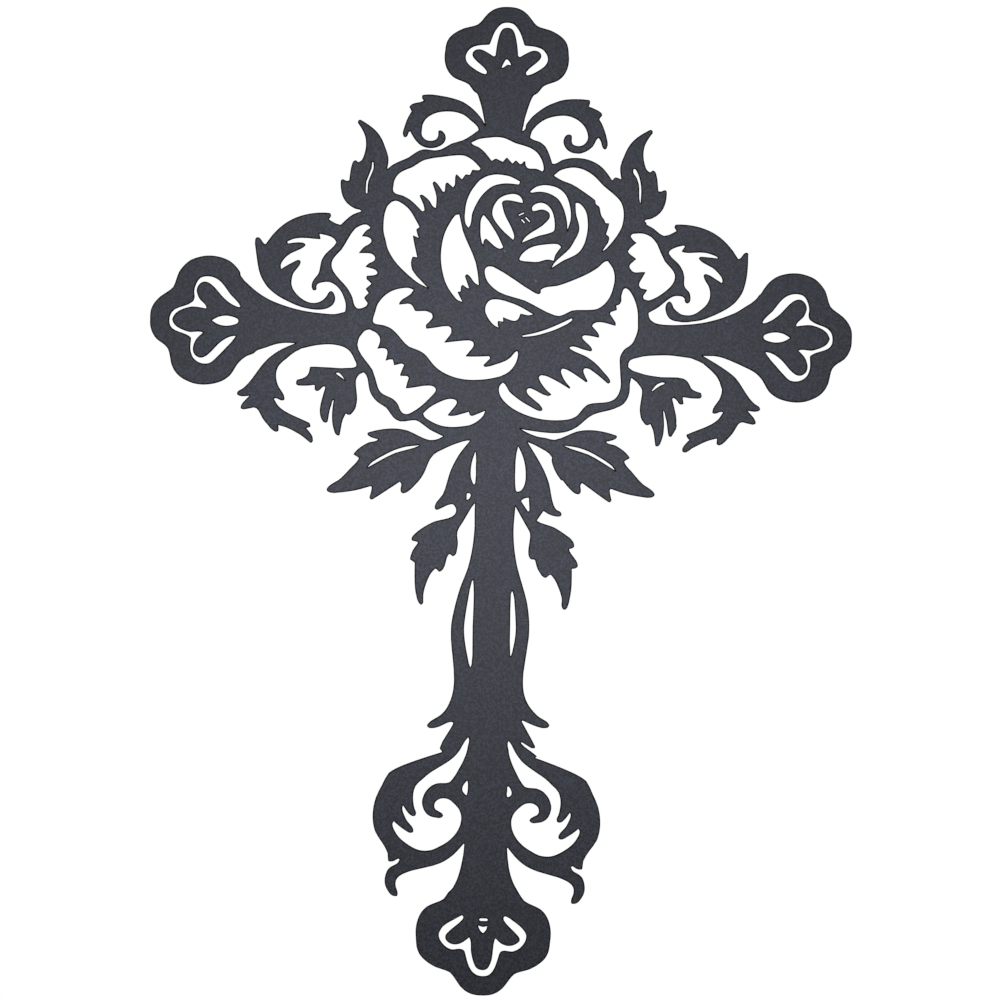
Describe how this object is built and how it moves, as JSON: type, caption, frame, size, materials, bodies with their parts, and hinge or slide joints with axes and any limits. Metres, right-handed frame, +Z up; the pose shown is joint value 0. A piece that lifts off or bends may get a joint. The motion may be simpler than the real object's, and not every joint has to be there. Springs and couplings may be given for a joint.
{
  "type": "wall cross",
  "caption": "Flat cut-sheet wall cross with a foil at each end, an openwork rose at the crossing, leaves and scrolls.",
  "frame": {"origin": "on the back face of the sheet, on the shaft between the rose and the top foil, where the cross bears on the wall", "axes": "+Z up the shaft, -Y out of the front face, +X to the right as seen from the front"},
  "size_m": [0.2129, 0.002, 0.3],
  "materials": {
    "powder_coated_steel": "dark blue-grey powder coat with a fine even grain, darker along every cut edge"
  },
  "bodies": {
    "root": {"cross_sheet": "powder_coated_steel"}
  },
  "joints": []
}
